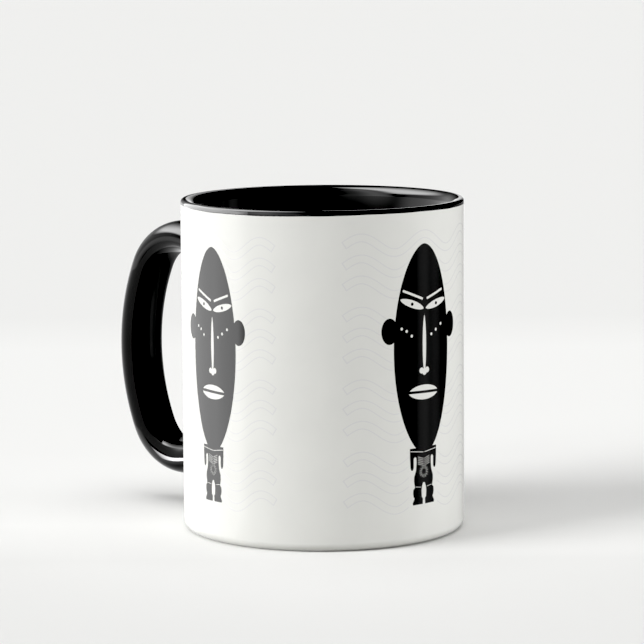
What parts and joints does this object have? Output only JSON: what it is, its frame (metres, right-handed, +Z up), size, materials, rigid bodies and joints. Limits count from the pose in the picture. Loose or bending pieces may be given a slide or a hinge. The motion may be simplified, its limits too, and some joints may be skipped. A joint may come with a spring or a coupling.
{
  "type": "ceramic mug",
  "caption": "Straight-walled ceramic mug with a loop handle, dark liner, lip and handle, and a printed stylised figure and wave motif.",
  "frame": {"origin": "centre of the foot ring, on the surface that the mug stands on", "axes": "+Z up along the cup's axis, out of its mouth; the handle lies along -X; the front of the print faces +X"},
  "size_m": [0.1209, 0.0822, 0.096],
  "materials": {
    "clay": "bare fired stoneware, matt",
    "white_coat": "white glaze under a clear gloss coat",
    "black_glaze": "high gloss",
    "black_ink": "printed ink under the clear coat, semi-gloss",
    "pale_ink": "faint grey printed ink, semi-gloss"
  },
  "bodies": {
    "root": {"cup_body": "clay", "handle_core": "clay", "upper_joint_slip": "black_glaze", "lower_joint_slip": "black_glaze", "outer_coat": "white_coat", "lip_glaze": "black_glaze", "liner_glaze": "black_glaze", "handle_glaze": "black_glaze", "figure_print_front": "black_ink", "figure_print_right": "black_ink", "figure_print_left": "black_ink", "wave_print_front": "pale_ink", "wave_print_right": "pale_ink", "wave_print_left": "pale_ink"}
  },
  "joints": []
}
